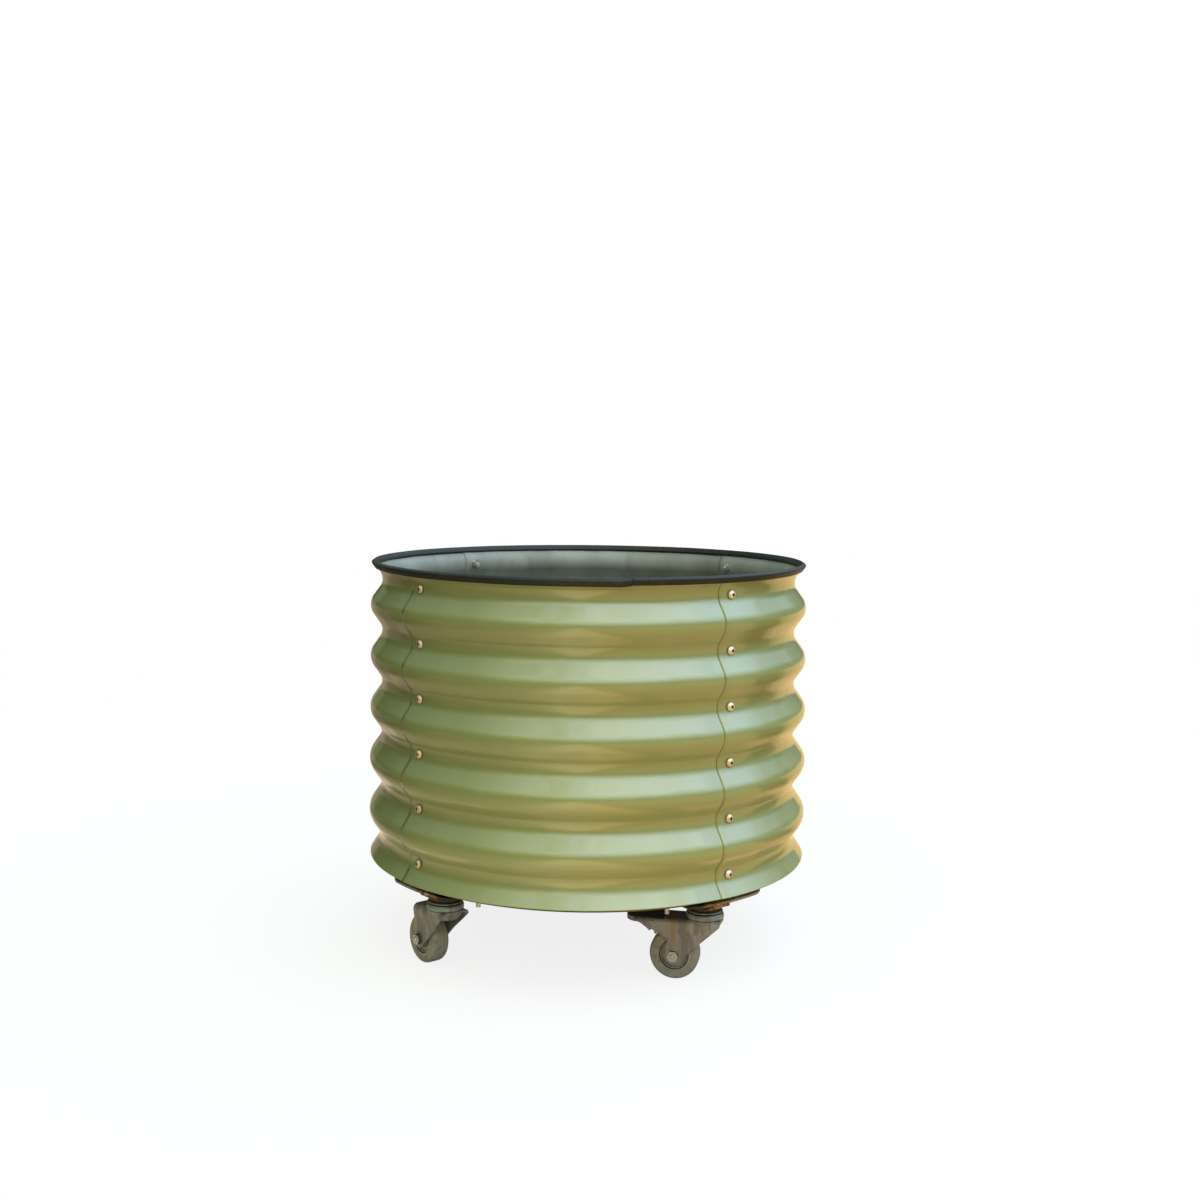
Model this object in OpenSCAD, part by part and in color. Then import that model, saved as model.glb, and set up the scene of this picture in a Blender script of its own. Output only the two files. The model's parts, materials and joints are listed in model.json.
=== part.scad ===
// Rolling planter: a round corrugated steel wall of four lapped and bolted panels, standing on a
// base pan that four folded brackets carry on swivel casters. Two of the casters have a brake.
// Millimetres. The origin is on the floor below the middle of the planter, +Z is up and -Y is the front.
// The front and rear panels are a little shorter than the side ones. Casters stand under the joints.

/* [Corrugated wall] */
// Diameter over the crests
body_d = 610; // [540:1:720]
// Distance from crest to crest up the wall
wave_pitch = 70.5; // [67:0.5:80]
// Depth from crest to valley
wave_depth = 16; // [10:0.5:18]
// Bending radius of the crests and valleys at mid sheet
wave_r = 20; // [15:0.5:22]
// Half the angle that the front and rear panels cover between their bolts
front_half = 43; // [35:1:50]
// Number of valleys, each with its ring of joint bolts
wave_rows = 6; // [3:1:8]
// Height of the lowest valley above the sheet's bottom edge
foot_lip = 25; // [22:0.5:30]
// Height of the sheet's top edge above the highest valley
top_lip = 22.5; // [20:0.5:24]
// Thickness of the sheet
sheet_t = 0.8; // [0.6:0.1:1]
// Length that a panel laps over its neighbour, past the bolts
lap_over = 21; // [15:1:30]
// Length that a panel runs on under its neighbour, past the bolts
lap_under = 18; // [12:1:30]
// Clearance between lapped sheets, square to their flanks
lap_gap = 0.05; // [0.02:0.01:0.1]

/* [Joint and pan bolts] */
// Shank diameter
bolt_d = 6; // [5:0.5:6.5]
// Difference between a hole and the bolt through it
bolt_play = 0.8; // [0.4:0.1:1]
// Diameter of the domed head
head_d = 13; // [11:0.5:14]
// Height of the domed head
head_h = 3.8; // [3:0.1:4.5]
// Hexagon socket in the head, across its corners
socket_d = 4.6; // [3:0.1:5]
// Depth of the socket
socket_h = 2; // [1:0.1:2.4]
// Width of the nuts across their flats
nut_af = 10; // [9.5:0.5:11]
// Height of the nuts
nut_h = 5; // [4:0.5:6]
// Diameter of the washers under the nuts
washer_d = 12.5; // [12:0.5:14]
// Thickness of the washers
washer_t = 1.2; // [0.8:0.1:1.6]
// Length of thread past a nut
bolt_end = 2; // [1:0.5:4]

/* [Edge trim] */
// Depth that the trim reaches down over the sheet, along the slope
trim_reach = 6.5; // [5:0.5:11]
// Thickness of the trim's lips and back
trim_wall = 2.2; // [1.5:0.1:2.6]
// Free space in the slot on each side of the sheets
trim_play = 0.08; // [0.02:0.02:0.3]
// Rounding of the trim's corners
trim_round = 1.6; // [0.8:0.1:2]
// Direction of the split where the trim's ends meet
trim_split_at = 285; // [0:1:359]
// Width of that split
trim_split = 0.6; // [0.2:0.1:2]

/* [Base pan] */
// Thickness of the pan
pan_t = 1.5; // [1:0.1:2]
// Height of the pan's turned-up edge, from its underside
pan_edge_h = 16; // [10:0.5:18]
// Inside bending radius of that edge
pan_bend = 4; // [2:0.5:6]
// Drop of the pan's underside below the wall
pan_drop = 6.5; // [4:0.5:8]
// Clearance between the pan's edge and the wall
pan_gap = 2.5; // [1.5:0.1:4]
// Diameter of the middle drain hole
drain_d = 20; // [12:1:30]
// Diameter of the other drain holes
weep_d = 8; // [5:0.5:12]
// Number of the other drain holes in a ring
weep_count = 8; // [4:4:16]
// Distances of the rings of drain holes from the middle
weep_rings = [90, 170];

/* [Caster brackets] */
// Distance of the swivel axes in from the wall's crests
swivel_inset = 58; // [50:1:70]
// Thickness of the bracket steel
plate_t = 3; // [2.5:0.1:4]
// Width of the shelf along the wall
shelf_w = 124; // [122:1:130]
// Width of the shelf's outer edge between its cut corners
shelf_edge_w = 84; // [60:1:100]
// Length of those cut corners across the shelf
shelf_cut = 11; // [6:0.5:16]
// Reach of the shelf from the swivel axis towards the middle
shelf_reach = 42; // [36:1:60]
// Shelf beyond the pan's edge
shelf_lip = 3.5; // [1:0.5:5]
// Height of the neck between foot plate and shelf
neck_h = 10.5; // [10:0.5:16]
// Width of the neck at the shelf
neck_top_w = 28; // [22:1:40]
// Width of the neck at the foot plate
neck_foot_w = 15; // [10:1:22]
// Length of the neck's folded sides
neck_side = 22; // [14:1:30]
// Outer face of the neck from the swivel axis
neck_out = 25; // [23:0.5:30]
// Width of the foot plate
foot_w = 58; // [50:1:70]
// Cut corners of the foot plate
foot_cut = 9; // [4:0.5:14]
// Width of the tab inside the wall
tab_w = 30; // [20:1:40]
// Thickness of the tab
tab_t = 2.5; // [2:0.1:3]
// Height of the tab above the lowest bolt
tab_over = 14; // [9:0.5:20]
// Distance between the two pan bolts of a bracket
pan_bolt_span = 106.4; // [100:0.2:108]
// Pan bolts from the swivel axis towards the middle
pan_bolt_in = 13; // [8:0.5:18]
// Length of the pan bolts
pan_bolt_l = 24; // [16:1:28]

/* [Casters] */
// Overall height of a caster
caster_h = 97; // [95:0.5:106]
// Distance of the axle behind the swivel axis
trail = 38; // [35:0.5:40]
// Wheel diameter
wheel_d = 64; // [60:0.5:65]
// Tread width
tread_w = 24; // [18:0.5:25]
// Thickness of the tyre on its hub
tyre_t = 13.5; // [11:0.5:15]
// Rounding of the tyre's shoulders
tyre_round = 5; // [2:0.5:8]
// Diameter of the hub's boss
boss_d = 22; // [18:0.5:26]
// Depth of the hub's dish on each side
dish_t = 1.6; // [1:0.1:5]
// Width of the groove between the dish and the hub's rim
groove_w = 1.6; // [1:0.1:2.5]
// Depth of that groove
groove_t = 3; // [1:0.1:5]
// Diameter of the axle bolt
axle_d = 8; // [6:0.5:9]
// Outside diameter of the bearing sleeve
sleeve_d = 12; // [11:0.5:14]
// Width across flats of the axle bolt's head and nut
axle_af = 12; // [11:0.5:14]
// Flange diameter of the axle bolt's head and nut
axle_flange_d = 17.6; // [15:0.2:19]
// Thickness of those flanges
axle_flange_t = 1.4; // [1:0.1:2]
// Height of the axle bolt's head and nut over their flanges
axle_head_h = 3.6; // [3:0.1:5]
// Radial clearance of the turning fits
fit_gap = 0.06; // [0.02:0.01:0.1]
// Gap between faces that slide past each other
face_gap = 0.3; // [0.1:0.05:0.5]

/* [Swivel heads] */
// Diameter of the upper race
upper_race_d = 46; // [44:0.5:48]
// Thickness of the upper race
upper_race_t = 4.7; // [4:0.1:5]
// Diameter of the lower race
lower_race_d = 49; // [44:0.5:50]
// Thickness of the lower race
lower_race_t = 8.3; // [7:0.1:8.6]
// Gap between the upper race's skirt and the lower race
skirt_gap = 0.8; // [0.6:0.1:1.2]
// Diameter of the bearing balls
ball_d = 5; // [4.6:0.1:6]
// Clearance round the balls in their grooves
ball_play = 0.1; // [0.05:0.01:0.12]
// Number of balls in a head
ball_count = 14; // [8:1:16]
// Diameter of the ring of balls
ball_ring_d = 34; // [30:0.5:38]
// Kingpin diameter
kingpin_d = 10; // [8:0.5:12]
// Diameter of the kingpin's head
kingpin_head_d = 17; // [15:0.5:19]
// Height of the kingpin's head
kingpin_head_h = 5; // [4:0.5:6]
// Width of the kingpin nut across its flats
kingpin_nut_af = 16; // [14:0.5:17]
// Height of the kingpin nut
kingpin_nut_h = 6; // [5:0.5:7]

/* [Forks] */
// Sheet thickness of the forks
fork_t = 2.5; // [2:0.1:3]
// Width between the ears at the axle
ear_gap = 28; // [27.5:0.5:30]
// Width over the fork's top
fork_w = 44; // [42:0.5:46]
// Height above the axle where the ears begin to spread
ear_bend = 18; // [12:0.5:22]
// Height of the fork's full width below its top
ear_shoulder = 8; // [6:0.5:14]
// Outer bend radius of the fork's shoulders
shoulder_r = 6; // [4:0.5:7.5]
// Radius of the ears round the axle
ear_r = 11; // [9:0.5:12]
// Thickness of the fork's top
crown_t = 3; // [2.5:0.1:3.4]
// Depth of the cone pressed down from the fork's top
cup_h = 12; // [8:0.5:16]
// Radius of that cone's lower edge
cup_r = 18; // [14:0.5:20]

/* [Brakes] */
// Brake pivot behind the axle
pivot_back = 27.8; // [26:0.2:29]
// Brake pivot below the fork's top
pivot_drop = 7; // [6.5:0.1:8]
// Diameter of the pivot pin
pivot_d = 5; // [4:0.5:6]
// Diameter of the pin's heads
pivot_head_d = 8; // [7:0.5:9]
// Thickness of the pin's heads
pivot_head_t = 1; // [0.8:0.1:2]
// Gap between the lever and the fork on each side
lever_play = 0.5; // [0.4:0.1:2]
// Inner end of the lever behind the axle
lever_back = 13.5; // [13:0.5:16]
// Thickness of the lever's plate
lever_t = 2.5; // [2:0.1:3]
// Reach of the lever's tip from the swivel axis
lever_reach = 101; // [94:0.5:110]
// Depth of the lever's turned-down edge
rim_h = 3; // [1:0.5:4]
// Thickness of the dark pad on the lever
pad_t = 1.6; // [1:0.1:2]
// Width of the brake shoe
shoe_w = 22; // [14:0.5:24]
// Gap between shoe and tread with the brake off
shoe_gap = 2.2; // [2:0.1:3.5]

/* [Colours] */
// Paint of the wall
paint = "#93a674";
// Edge trim and pedal pad
black = "#2b2b2d";
// Bright zinc plating
zinc = "#c9c2b0";
// Galvanised steel
galvanised = "#8a8780";
// Rusted bracket steel
rust = "#7a4a2c";
// Tyres
tyre_grey = "#7d7b70";

/* [Hidden] */
$fn = 96;
seat = 0.02;      // gap between faces that rest on each other, on curved seats
eps = 0.5;        // how far cutting tools run past a face
shoulder_steps = 6;
cut = 60;         // size of cutting tools that only need to be large

// Angles of the joints from +X: rear right, rear left, front left, front right
JOINTS = [90 - front_half, 90 + front_half, 270 - front_half, 270 + front_half];
side_half = 90 - front_half;

// Casters: [joint angle, direction in which the wheel trails]
FR = [JOINTS[3], 172];
FL = [JOINTS[2], 134];
RR = [JOINTS[0], 18];
RL = [JOINTS[1], 160];
CASTERS = [FR, FL, RR, RL];
BRAKED = [FR, RL];

// The corrugation's mid line: arcs of wave_r joined by straight flanks at this angle to the vertical
wave_a = wave_depth / 2;
quarter = wave_pitch / 4;
flank = asin(wave_r / norm([quarter, wave_r - wave_a])) - atan2(wave_r - wave_a, quarter);
mid_r = body_d / 2 - wave_a - sheet_t / 2;
arc_steps = 6;

// At its joints a panel lies lap_offset out of line, over one neighbour and under the other
over_a = lap_over / mid_r * 180 / PI;
under_a = lap_under / mid_r * 180 / PI;
lap_offset = (sheet_t + lap_gap) / cos(flank) / 2;
function lap_shift(half) = lap_offset / sin(half);
// A panel's offset an angle a past its joint, at the most
function lap_offset_at(a) = lap_offset * max([for (h = [front_half, side_half]) sin(h + a) / sin(h)]);
lap_far = lap_offset_at(max(over_a, under_a));
valley_out_r = mid_r - wave_a + sheet_t / 2 + lap_offset;
valley_in_r = mid_r - wave_a - sheet_t / 2 - lap_offset;
valley_bend = wave_r - sheet_t / 2;
head_rise = valley_bend - sqrt(pow(valley_bend, 2) - pow(head_d / 2, 2));

// Heights, from the floor up
axle_z = wheel_d / 2;
foot_z = caster_h;
shelf_z = foot_z + plate_t + neck_h;
pan_z = shelf_z + plate_t;
wall_z = pan_z + pan_drop;
valley_z0 = wall_z + foot_lip;
wall_top = valley_z0 + (wave_rows - 1) * wave_pitch + top_lip;
race_top = foot_z - upper_race_t;
crown_z = race_top - (ball_d - 1) - lower_race_t;
swivel_r = body_d / 2 - swivel_inset;
pivot_up = crown_z - pivot_drop - axle_z;
lever_w = fork_w - 2 * fork_t - 2 * lever_play;

// Radius of the mid line at a height d from the middle of a valley
function wave_radius(d) =
  d <= wave_r * sin(flank)
    ? mid_r - wave_a + wave_r - sqrt(pow(wave_r, 2) - pow(d, 2))
    : d <= wave_pitch / 2 - wave_r * sin(flank)
      ? mid_r + (d - quarter) * tan(flank)
      : mid_r + wave_a - wave_r + sqrt(pow(wave_r, 2) - pow(wave_pitch / 2 - d, 2));

// The trim's slot holds the lapped sheets too, which lie up to lap_far out of line
edge_r = wave_radius(top_lip);
slot_half = sheet_t / 2 + lap_far + trim_play;
slot_z = wall_top + trim_play;

// Inside faces that pieces rest on: the tab on the lapped sheets, and washers flat on a curved face
tab_a = asin(tab_w / 2 / valley_in_r);
tab_r = mid_r - wave_a - sheet_t / 2 - lap_offset_at(tab_a) - seat;
function flat_on(r, d) = sqrt(pow(r, 2) - pow(d / 2, 2));

// The pan's outer radius, clear of the wall at the height of its edge
pan_r = wave_radius(max(0, foot_lip - (pan_edge_h - pan_drop)))
  - sheet_t / 2 / cos(flank) - lap_far - pan_gap;

// ---- the wall ----

// One arc of the corrugation: centre c, radius r, turning from angle a0 to a1
function arc(c, r, a0, a1, n = arc_steps) =
  [for (i = [0:n]) c + r * [cos(a0 + (a1 - a0) * i / n), sin(a0 + (a1 - a0) * i / n)]];

// The corrugation at a distance off its mid line, from the crest below the wall to the one above it
function wave_line(off) = [
  for (k = [0:wave_rows])
    let (z = valley_z0 + (k - 0.5) * wave_pitch)
    each concat(
      arc([mid_r + wave_a - wave_r, z], wave_r + off, -flank, flank),
      k < wave_rows
        ? arc([mid_r - wave_a + wave_r, z + wave_pitch / 2], wave_r - off, 180 + flank, 180 - flank)
        : [])
];
function reversed(v) = [for (i = [len(v) - 1:-1:0]) v[i]];

// The corrugation as a band, half its thickness to each side and cut level at its ends
module wave_band(half, top) {
  intersection() {
    polygon(concat(wave_line(half), reversed(wave_line(-half))));
    translate([mid_r - cut / 2, wall_z]) square([cut, top - wall_z]);
  }
}

// Places its children at every joint bolt, with +Z pointing outwards from the planter's axis
module at_joint_bolts(joints = JOINTS) {
  for (j = joints, k = [0:wave_rows - 1])
    rotate([0, 0, j])
      translate([0, 0, valley_z0 + k * wave_pitch])
        rotate([0, 90, 0]) children();
}

// A part of the wall. Its middle faces the angle mid, and its joints lie half to each side.
module panel(mid, half) {
  color(paint) difference() {
    rotate([0, 0, mid]) translate([0, -lap_shift(half), 0]) rotate([0, 0, -half - over_a])
      rotate_extrude(angle = 2 * half + over_a + under_a) wave_band(sheet_t / 2, wall_top);
    at_joint_bolts([mid - half, mid + half])
      translate([0, 0, valley_in_r - cut / 2]) cylinder(d = bolt_d + bolt_play, h = cut);
  }
}

module panel_front() { panel(270, front_half); }
module panel_right() { panel(0, side_half); }
module panel_rear() { panel(90, front_half); }
module panel_left() { panel(180, side_half); }

// A rectangle with round corners, centred across and standing on y = 0
module round_bar(w, h, r) {
  translate([-w / 2 + r, 0]) square([w - 2 * r, h]);
  translate([-w / 2, r]) square([w, h - 2 * r]);
  for (x = [-w / 2 + r, w / 2 - r], y = [r, h - r]) translate([x, y]) circle(r);
}

// U section over the top edge, leaning outwards with the sheet's top flank
module rim_trim() {
  split_a = trim_split / edge_r * 180 / PI;
  color(black) rotate([0, 0, trim_split_at + split_a / 2])
    rotate_extrude(angle = 360 - split_a, $fn = 160)
      difference() {
        translate([edge_r, wall_top]) rotate(-flank) translate([0, -trim_reach])
          round_bar(2 * (slot_half + trim_wall), trim_reach + slot_half + trim_wall, trim_round);
        wave_band(slot_half, slot_z);
      }
}

// Domed bolt along +Z: the head's seat is at z = 0 and the shank runs down by length
module dome_bolt(length) {
  dome_r = (pow(head_d / 2, 2) + pow(head_h, 2)) / (2 * head_h);
  difference() {
    union() {
      intersection() {
        cylinder(d = head_d, h = head_h);
        translate([0, 0, head_h - dome_r]) sphere(dome_r);
      }
      translate([0, 0, -length]) cylinder(d = bolt_d, h = length + head_h / 2);
    }
    translate([0, 0, head_h - socket_h]) cylinder(d = socket_d, h = socket_h + eps, $fn = 6);
  }
}

module hex_nut(af, h, bore) {
  difference() {
    cylinder(d = af / cos(30), h = h, $fn = 6);
    translate([0, 0, -eps]) cylinder(d = bore, h = h + 2 * eps);
  }
}

// What the joint bolts clamp inside the wall: the tab at the lowest row, then a washer and a nut
function washer_r(k) = flat_on(k == 0 ? tab_r - tab_t : valley_in_r - seat, washer_d) - seat - washer_t;

module joint_bolts() {
  seat_r = valley_out_r + head_rise + seat;
  color(zinc) for (j = JOINTS, k = [0:wave_rows - 1])
    rotate([0, 0, j]) translate([0, 0, valley_z0 + k * wave_pitch]) rotate([0, 90, 0])
      translate([0, 0, seat_r]) dome_bolt(seat_r - washer_r(k) + nut_h + bolt_end);
}

module joint_washers() {
  color(zinc) for (j = JOINTS, k = [0:wave_rows - 1])
    rotate([0, 0, j]) translate([0, 0, valley_z0 + k * wave_pitch]) rotate([0, 90, 0])
      translate([0, 0, washer_r(k)]) difference() {
        cylinder(d = washer_d, h = washer_t);
        translate([0, 0, -eps]) cylinder(d = bolt_d + 2 * seat, h = washer_t + 2 * eps);
      }
}

module joint_nuts() {
  color(zinc) for (j = JOINTS, k = [0:wave_rows - 1])
    rotate([0, 0, j]) translate([0, 0, valley_z0 + k * wave_pitch]) rotate([0, 90, 0])
      translate([0, 0, washer_r(k) - nut_h]) hex_nut(nut_af, nut_h, bolt_d + 2 * seat);
}

// ---- the base ----

// Places its children in the frame of each bracket: +X points outwards through the joint
module at_brackets(list = CASTERS) {
  for (c = list) rotate([0, 0, c[0]]) children();
}

module at_pan_bolts() {
  for (s = [-1, 1]) translate([swivel_r - pan_bolt_in, s * pan_bolt_span / 2, 0]) children();
}

module base_pan() {
  bend = pan_bend + pan_t;
  color(galvanised) translate([0, 0, pan_z]) difference() {
    rotate_extrude($fn = 160) {
      square([pan_r - bend, pan_t]);
      translate([pan_r - pan_t, bend]) square([pan_t, pan_edge_h - bend]);
      translate([pan_r - bend, bend]) intersection() {
        difference() {
          circle(bend);
          circle(pan_bend);
        }
        translate([0, -bend]) square(bend);
      }
    }
    translate([0, 0, -eps]) cylinder(d = drain_d, h = pan_t + 2 * eps);
    for (r = weep_rings, i = [0:weep_count - 1])
      rotate([0, 0, (i + 0.5) * 360 / weep_count])
        translate([r, 0, -eps]) cylinder(d = weep_d, h = pan_t + 2 * eps);
    at_brackets() {
      at_pan_bolts() translate([0, 0, -eps]) cylinder(d = bolt_d + bolt_play, h = pan_t + 2 * eps);
      // notch for the bracket's tab
      translate([tab_r - tab_t - pan_bend, -tab_w / 2 - pan_gap, -eps])
        cube([cut, tab_w + 2 * pan_gap, pan_edge_h + 2 * eps]);
    }
  }
}

module pan_bolts() {
  color(zinc) at_brackets() at_pan_bolts()
    translate([0, 0, pan_z + pan_t + seat]) dome_bolt(pan_bolt_l);
}

module pan_nuts() {
  color(zinc) at_brackets() at_pan_bolts()
    translate([0, 0, shelf_z - seat - nut_h]) hex_nut(nut_af, nut_h, bolt_d + 2 * seat);
}

// Shelf, neck, foot plate and tab, folded from one plate, in the frame of the joint
module bracket_shape() {
  shelf_r = pan_r + shelf_lip;
  slant = atan((neck_top_w - neck_foot_w) / 2 / neck_h);
  neck_x = swivel_r + neck_out;
  x0 = swivel_r - shelf_reach;
  x1 = shelf_r - shelf_cut;
  difference() {
    union() {
      // shelf under the pan
      translate([0, 0, shelf_z]) linear_extrude(plate_t) intersection() {
        circle(shelf_r, $fn = 160);
        polygon([
          [x0 + shelf_cut, -shelf_w / 2], [x1, -shelf_w / 2], [shelf_r, -shelf_edge_w / 2],
          [shelf_r, shelf_edge_w / 2], [x1, shelf_w / 2], [x0 + shelf_cut, shelf_w / 2],
          [x0, shelf_w / 2 - shelf_cut], [x0, -shelf_w / 2 + shelf_cut]
        ]);
      }
      // tab rolled to the wall
      translate([0, 0, shelf_z]) rotate([0, 0, -tab_a]) rotate_extrude(angle = 2 * tab_a)
        translate([tab_r - tab_t, 0]) square([tab_t, valley_z0 + tab_over - shelf_z]);
      // neck: a tapered web with its sides folded inwards
      translate([neck_x - plate_t, 0, foot_z]) rotate([90, 0, 90]) linear_extrude(plate_t)
        polygon([
          [-neck_foot_w / 2, 0], [neck_foot_w / 2, 0],
          [neck_top_w / 2, neck_h + plate_t], [-neck_top_w / 2, neck_h + plate_t]
        ]);
      intersection() {
        for (s = [-1, 1]) mirror([0, (1 - s) / 2, 0])
          translate([neck_x - neck_side, neck_foot_w / 2, foot_z]) rotate([90 - slant, 0, 0])
            linear_extrude(plate_t)
              polygon([[0, 2 * neck_h], [neck_side, 2 * neck_h], [neck_side, 0], [neck_side / 2, 0]]);
        translate([0, -cut / 2, foot_z]) cube([neck_x, cut, shelf_z + plate_t - foot_z]);
      }
      // foot plate over the swivel head
      translate([0, 0, foot_z]) linear_extrude(plate_t) polygon([
        [swivel_r - foot_w / 2 + foot_cut, -foot_w / 2], [neck_x - foot_cut, -foot_w / 2],
        [neck_x, -foot_w / 2 + foot_cut], [neck_x, foot_w / 2 - foot_cut],
        [neck_x - foot_cut, foot_w / 2], [swivel_r - foot_w / 2 + foot_cut, foot_w / 2],
        [swivel_r - foot_w / 2, foot_w / 2 - foot_cut], [swivel_r - foot_w / 2, -foot_w / 2 + foot_cut]
      ]);
    }
    at_pan_bolts() translate([0, 0, shelf_z - eps]) cylinder(d = bolt_d + bolt_play, h = plate_t + 2 * eps);
    translate([swivel_r, 0, foot_z - eps]) cylinder(d = kingpin_d + 2 * seat, h = plate_t + 2 * eps);
    translate([tab_r - cut / 2, 0, valley_z0]) rotate([0, 90, 0]) cylinder(d = bolt_d + bolt_play, h = cut);
  }
}

module bracket(c) { color(rust) at_brackets([c]) bracket_shape(); }

// ---- swivel heads, in the frame of the swivel axis ----

module at_swivel(c) {
  rotate([0, 0, c[0]]) translate([swivel_r, 0, 0]) rotate([0, 0, c[1] - c[0]]) children();
}

module ball_groove() {
  translate([0, 0, race_top - ball_d / 2 + 0.5]) rotate_extrude()
    translate([ball_ring_d / 2, 0]) circle(d = ball_d + 2 * ball_play);
}

module kingpins() {
  length = foot_z + plate_t + kingpin_nut_h + bolt_end - crown_z + crown_t + kingpin_head_h + face_gap;
  color(zinc) for (c = CASTERS) at_swivel(c) translate([0, 0, crown_z - crown_t - face_gap]) {
    translate([0, 0, -kingpin_head_h]) cylinder(d = kingpin_d, h = length);
    translate([0, 0, -kingpin_head_h]) cylinder(d = kingpin_head_d, h = kingpin_head_h);
  }
}

module kingpin_nuts() {
  color(zinc) for (c = CASTERS) at_swivel(c) translate([0, 0, foot_z + plate_t])
    hex_nut(kingpin_nut_af, kingpin_nut_h, kingpin_d + 2 * seat);
}

module upper_race(c) {
  r = upper_race_d / 2;
  bore = kingpin_d / 2 + seat;
  skirt_z = crown_z + lower_race_t + skirt_gap;
  skirt_in = ball_ring_d / 2 + ball_d / 2 + 0.7;
  color(galvanised) at_swivel(c) difference() {
    rotate_extrude() polygon([
      [bore, race_top], [skirt_in, race_top], [skirt_in, skirt_z], [r - 0.5, skirt_z],
      [r, skirt_z + 0.5], [r, skirt_z + 1.4], [r - 1.8, skirt_z + 3], [r - 1.8, foot_z], [bore, foot_z]
    ]);
    ball_groove();
  }
}

module race_balls() {
  color(zinc) for (c = CASTERS) at_swivel(c) for (i = [0:ball_count - 1])
    rotate([0, 0, i * 360 / ball_count]) translate([ball_ring_d / 2, 0, race_top - ball_d / 2 + 0.5])
      sphere(d = ball_d, $fn = 24);
}

module lower_race(c) {
  r = lower_race_d / 2;
  bore = kingpin_d / 2 + fit_gap;
  top = crown_z + lower_race_t;
  color(galvanised) at_swivel(c) difference() {
    rotate_extrude() polygon([
      [bore, crown_z], [r - 1, crown_z], [r, crown_z + 1.4], [r, crown_z + lower_race_t * 0.55],
      [r - 0.5, crown_z + lower_race_t * 0.75], [r - 2, top], [bore, top]
    ]);
    ball_groove();
  }
}

// ---- forks: x runs back along the trail, y across ----

// Half of an upside-down U whose side leans out from y0 to y1 and turns round into its top, from
// the bottom to the middle
function half_arch(y0, y1, z1, z2, top, r) =
  concat([[y0, -eps], [y0, z1], [y1, z2]], arc([y1 - r, top - r], r, 0, 90, shoulder_steps));

function mirrored(v) = concat(v, [for (p = reversed(v)) [-p[0], p[1]]]);

// Upside-down U across the fork, spreading above the wheel
module fork_section() {
  half = ear_gap / 2;
  z1 = axle_z + ear_bend;
  z2 = crown_z - ear_shoulder;
  difference() {
    polygon(mirrored(half_arch(half + fork_t, fork_w / 2, z1, z2, crown_z, shoulder_r)));
    polygon(mirrored(half_arch(half, fork_w / 2 - fork_t, z1, z2, crown_z - crown_t, shoulder_r - fork_t)));
  }
}

// Outline of the ears from the side
module ear_outline(braked) {
  up = crown_z - axle_z;
  brow = lower_race_d / 2 - 2;
  translate([trail, axle_z]) {
    polygon([
      [-trail - brow + 1, up], [-trail - brow, up - 2], [-trail - brow + 1, up - cup_h / 2],
      [-trail - brow + 7, up - cup_h], [-trail - brow + 26, up - cup_h - 18],
      [-ear_r * cos(48), -ear_r * sin(48)], [0, 0], [ear_r, 2], [3, up]
    ]);
    circle(ear_r);
    if (braked) polygon([
      [0, up], [0, 15], [8.5, up - 26], [17.4, up - 21], [23.4, up - 17], [pivot_back, up - 15],
      [pivot_back + 3, up - 17], [pivot_back + 6, up - 13.5], [pivot_back + 13, up - 8],
      [pivot_back + 22, up - 3.8], [pivot_back + 22, up]
    ]);
  }
}

module fork_shape(braked = false) {
  half = ear_gap / 2;
  cup_top = lower_race_d / 2 - 0.6;
  difference() {
    union() {
      intersection() {
        rotate([90, 0, 90]) translate([0, 0, -cut]) linear_extrude(3 * cut) fork_section();
        rotate([90, 0, 0]) translate([0, 0, -cut / 2]) linear_extrude(cut) ear_outline(braked);
      }
      // round crown, pressed down into a cone
      rotate_extrude() polygon([
        [0, crown_z - crown_t], [cup_top - fork_t, crown_z - crown_t], [cup_r - fork_t, crown_z - cup_h],
        [cup_r, crown_z - cup_h], [cup_top, crown_z - crown_t], [cup_top, crown_z], [0, crown_z]
      ]);
    }
    translate([0, 0, crown_z - crown_t - eps]) cylinder(r = kingpin_d / 2 + fit_gap, h = crown_t + 2 * eps);
    translate([trail, half + fork_t + eps, axle_z]) rotate([90, 0, 0])
      cylinder(d = axle_d + 2 * seat, h = ear_gap + 2 * fork_t + 2 * eps);
    if (braked) {
      // the lever's slot, open to the back, and the holes for its pin
      translate([trail + lever_back - 1.5, -fork_w / 2 + fork_t, crown_z - ear_shoulder])
        cube([cut, fork_w - 2 * fork_t, ear_shoulder + eps]);
      translate([trail + pivot_back, fork_w / 2 + eps, axle_z + pivot_up]) rotate([90, 0, 0])
        cylinder(d = pivot_d + 2 * seat, h = fork_w + 2 * eps);
    }
  }
}

module fork(c, braked = false) { color(galvanised) at_swivel(c) fork_shape(braked); }

// ---- wheels, in the frame of the axle: z runs along it ----

module at_axle(c) { at_swivel(c) translate([trail, 0, axle_z]) rotate([90, 0, 0]) children(); }

module sleeve(c) {
  color(zinc) at_axle(c) difference() {
    cylinder(d = sleeve_d, h = ear_gap, center = true);
    cylinder(d = axle_d + 2 * seat, h = ear_gap + 2 * eps, center = true);
  }
}

module flange_hex(bore) {
  difference() {
    union() {
      cylinder(d = axle_flange_d, h = axle_flange_t);
      cylinder(d = axle_af / cos(30), h = axle_flange_t + axle_head_h, $fn = 6);
    }
    if (bore > 0) translate([0, 0, -eps]) cylinder(d = bore, h = axle_flange_t + axle_head_h + 2 * eps);
  }
}

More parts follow.
